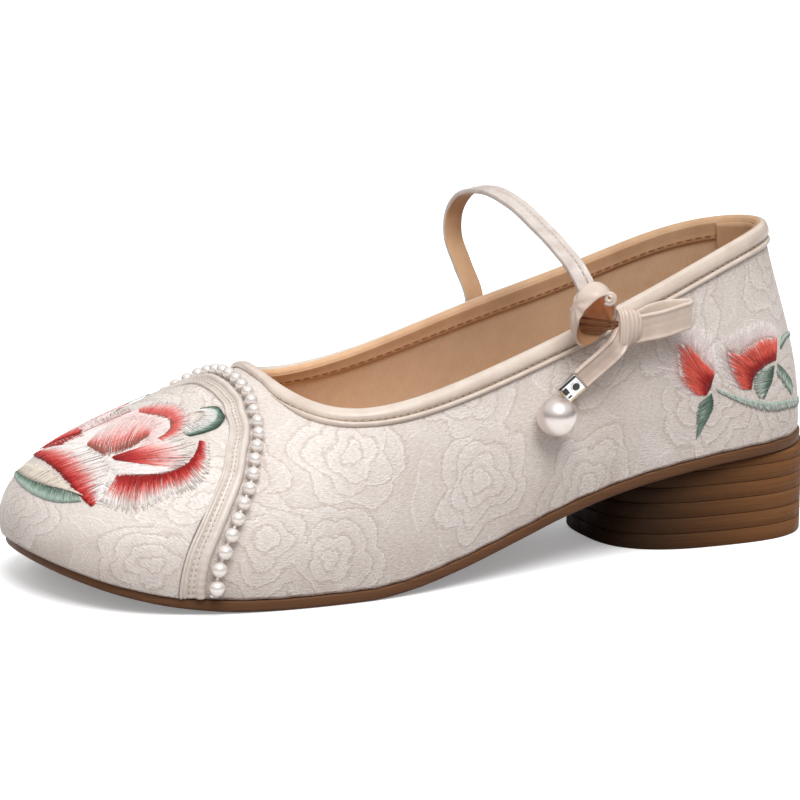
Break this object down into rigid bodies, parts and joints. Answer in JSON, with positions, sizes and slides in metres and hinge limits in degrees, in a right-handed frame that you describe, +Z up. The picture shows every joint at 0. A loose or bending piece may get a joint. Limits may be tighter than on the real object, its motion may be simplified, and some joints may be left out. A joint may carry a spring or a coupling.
{
  "type": "hanfu shoe",
  "caption": "Low-cut left hanfu shoe with an embroidered, pearl-edged toe cap, an ankle strap with a bow and a low block heel.",
  "frame": {"origin": "under the middle of the shoe's bounding box, on the floor", "axes": "toe towards -X, heel towards +X, outer side of the left foot towards -Y, +Z up"},
  "size_m": [0.2445, 0.0928, 0.1021],
  "materials": {
    "upper_satin": "cream jacquard satin, soft sheen",
    "toe_cap_satin": "cream satin with embroidery",
    "binding_satin": "warm cream satin",
    "sole_rubber": "satin brown",
    "heel_rubber": "dark brown with level grooves",
    "insole_leather": "matt tan",
    "pearl": "pearl lustre",
    "clasp_metal": "polished"
  },
  "bodies": {
    "root": {"outsole": "sole_rubber", "heel": "heel_rubber", "insole": "insole_leather", "upper": "upper_satin", "toe_cap": "toe_cap_satin", "toe_cap_binding": "binding_satin", "collar_binding": "binding_satin", "collar_piping": "binding_satin", "strap": "binding_satin", "bow_puffed_loop": "binding_satin", "bow_knot": "binding_satin", "bow_flat_loop": "binding_satin", "bow_tail": "binding_satin", "tail_clasp": "clasp_metal", "tail_pearl": "pearl", "toe_pearl_01": "pearl", "toe_pearl_02": "pearl", "toe_pearl_03": "pearl", "toe_pearl_04": "pearl", "toe_pearl_05": "pearl", "toe_pearl_06": "pearl", "toe_pearl_07": "pearl", "toe_pearl_08": "pearl", "toe_pearl_09": "pearl", "toe_pearl_10": "pearl", "toe_pearl_11": "pearl", "toe_pearl_12": "pearl", "toe_pearl_13": "pearl", "toe_pearl_14": "pearl", "toe_pearl_15": "pearl", "toe_pearl_16": "pearl", "toe_pearl_17": "pearl", "toe_pearl_18": "pearl", "toe_pearl_19": "pearl", "toe_pearl_20": "pearl", "toe_pearl_21": "pearl", "toe_pearl_22": "pearl", "toe_pearl_23": "pearl", "toe_pearl_24": "pearl", "toe_pearl_25": "pearl", "toe_pearl_26": "pearl", "toe_pearl_27": "pearl", "toe_pearl_28": "pearl", "toe_pearl_29": "pearl", "toe_pearl_30": "pearl", "toe_pearl_31": "pearl", "toe_pearl_32": "pearl", "toe_pearl_33": "pearl", "toe_pearl_34": "pearl"}
  },
  "joints": []
}
